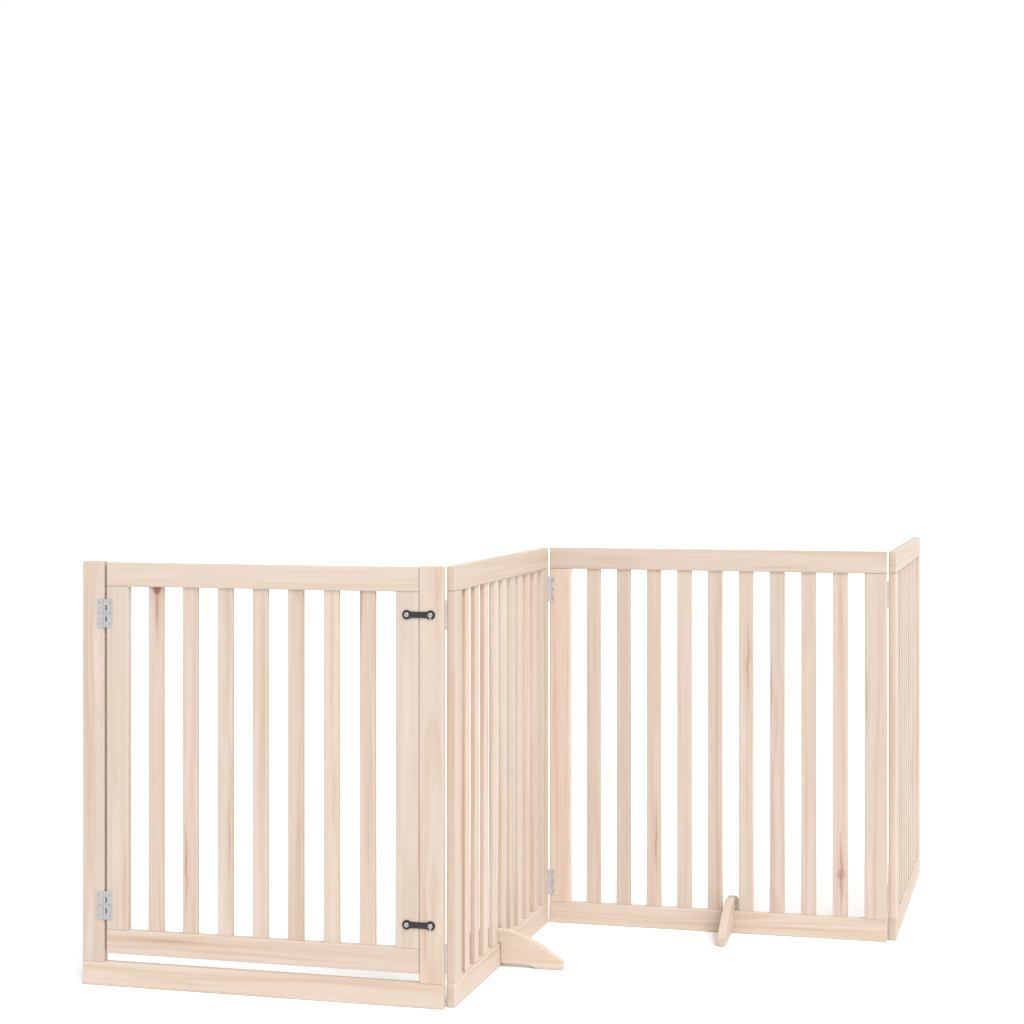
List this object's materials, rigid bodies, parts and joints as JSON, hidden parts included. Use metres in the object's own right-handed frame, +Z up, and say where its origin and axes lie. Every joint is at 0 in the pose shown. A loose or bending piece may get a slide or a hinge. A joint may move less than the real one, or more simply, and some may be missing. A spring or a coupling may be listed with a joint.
{
  "type": "folding pet gate",
  "caption": "Free-standing folding wooden pet gate: hinged slatted panels in a zigzag, one with a latched door, on lift-off feet.",
  "frame": {"origin": "on the floor, under the centre of the box round the gate as it stands in its zigzag", "axes": "+Z up; +X along the door panel and the third panel, from the door hinge towards the far end; +Y along the second and fourth panels, away from the side that the door opens to"},
  "size_m": [1.642, 1.6476, 0.9],
  "materials": {
    "pine_boards": "satin",
    "pine_slats": "satin",
    "pine_feet": "satin",
    "dowel": "matte",
    "zinc_steel": "satin",
    "screw_steel": "satin",
    "black_steel": "satin"
  },
  "bodies": {
    "door_frame": {"door_frame_left_post": "pine_boards", "door_frame_right_post": "pine_boards", "door_frame_threshold": "pine_boards", "door_frame_dowels": "dowel", "door_hinge_frame_leaves": "zinc_steel", "door_hinge_pins": "screw_steel", "door_hinge_frame_screws": "screw_steel", "latch_keeper_screws": "screw_steel", "fold_1_leaves_a": "zinc_steel", "fold_1_screws_a": "screw_steel", "fold_1_pins": "screw_steel"},
    "door": {"door_hinge_stile": "pine_boards", "door_latch_stile": "pine_boards", "door_top_rail": "pine_boards", "door_bottom_rail": "pine_boards", "door_slats": "pine_slats", "door_dowels": "dowel", "door_hinge_door_leaves": "zinc_steel", "door_hinge_door_screws": "screw_steel", "latch_pivot_screws": "screw_steel"},
    "upper_latch": {"upper_latch_hook": "black_steel"},
    "lower_latch": {"lower_latch_hook": "black_steel"},
    "panel_2": {"panel_2_near_stile": "pine_boards", "panel_2_far_stile": "pine_boards", "panel_2_top_rail": "pine_boards", "panel_2_bottom_rail": "pine_boards", "panel_2_slats": "pine_slats", "panel_2_dowels": "dowel", "fold_1_leaves_b": "zinc_steel", "fold_1_screws_b": "screw_steel", "fold_2_leaves_a": "zinc_steel", "fold_2_screws_a": "screw_steel", "fold_2_pins": "screw_steel"},
    "panel_3": {"panel_3_near_stile": "pine_boards", "panel_3_far_stile": "pine_boards", "panel_3_top_rail": "pine_boards", "panel_3_bottom_rail": "pine_boards", "panel_3_slats": "pine_slats", "panel_3_dowels": "dowel", "fold_2_leaves_b": "zinc_steel", "fold_2_screws_b": "screw_steel", "fold_3_leaves_a": "zinc_steel", "fold_3_screws_a": "screw_steel", "fold_3_pins": "screw_steel"},
    "panel_4": {"panel_4_near_stile": "pine_boards", "panel_4_far_stile": "pine_boards", "panel_4_top_rail": "pine_boards", "panel_4_bottom_rail": "pine_boards", "panel_4_slats": "pine_slats", "panel_4_dowels": "dowel", "fold_3_leaves_b": "zinc_steel", "fold_3_screws_b": "screw_steel"},
    "foot_on_panel_2": {"panel_2_foot": "pine_feet"},
    "foot_on_panel_3": {"panel_3_foot": "pine_feet"}
  },
  "joints": [
    {"name": "door_swing", "type": "hinge", "parent": "door_frame", "child": "door", "pos_m": [-0.7689, -0.8196, 0.48], "axis": [0, 0, -1], "range_deg": [0, 170]},
    {"name": "upper_latch_swing", "type": "hinge", "parent": "door", "child": "upper_latch", "pos_m": [-0.0975, -0.8194, 0.801], "axis": [0, -1, 0], "range_deg": [0, 180]},
    {"name": "lower_latch_swing", "type": "hinge", "parent": "door", "child": "lower_latch", "pos_m": [-0.0975, -0.8194, 0.169], "axis": [0, -1, 0], "range_deg": [0, 180]},
    {"name": "fold_1", "type": "hinge", "parent": "door_frame", "child": "panel_2", "pos_m": [-0.0204, -0.7988, 0.45], "axis": [0, 0, 1], "range_deg": [-90, 60]},
    {"name": "fold_2", "type": "hinge", "parent": "panel_2", "child": "panel_3", "pos_m": [0.0004, 0.0024, 0.45], "axis": [0, 0, 1], "range_deg": [-45, 90]},
    {"name": "fold_3", "type": "hinge", "parent": "panel_3", "child": "panel_4", "pos_m": [0.8016, 0.0232, 0.45], "axis": [0, 0, 1], "range_deg": [-90, 60]},
    {"name": "foot_2_lift", "type": "slide", "parent": "panel_2", "child": "foot_on_panel_2", "axis": [0, 0, 1], "range_m": [0, 0.08]},
    {"name": "foot_3_lift", "type": "slide", "parent": "panel_3", "child": "foot_on_panel_3", "axis": [0, 0, 1], "range_m": [0, 0.08]}
  ]
}
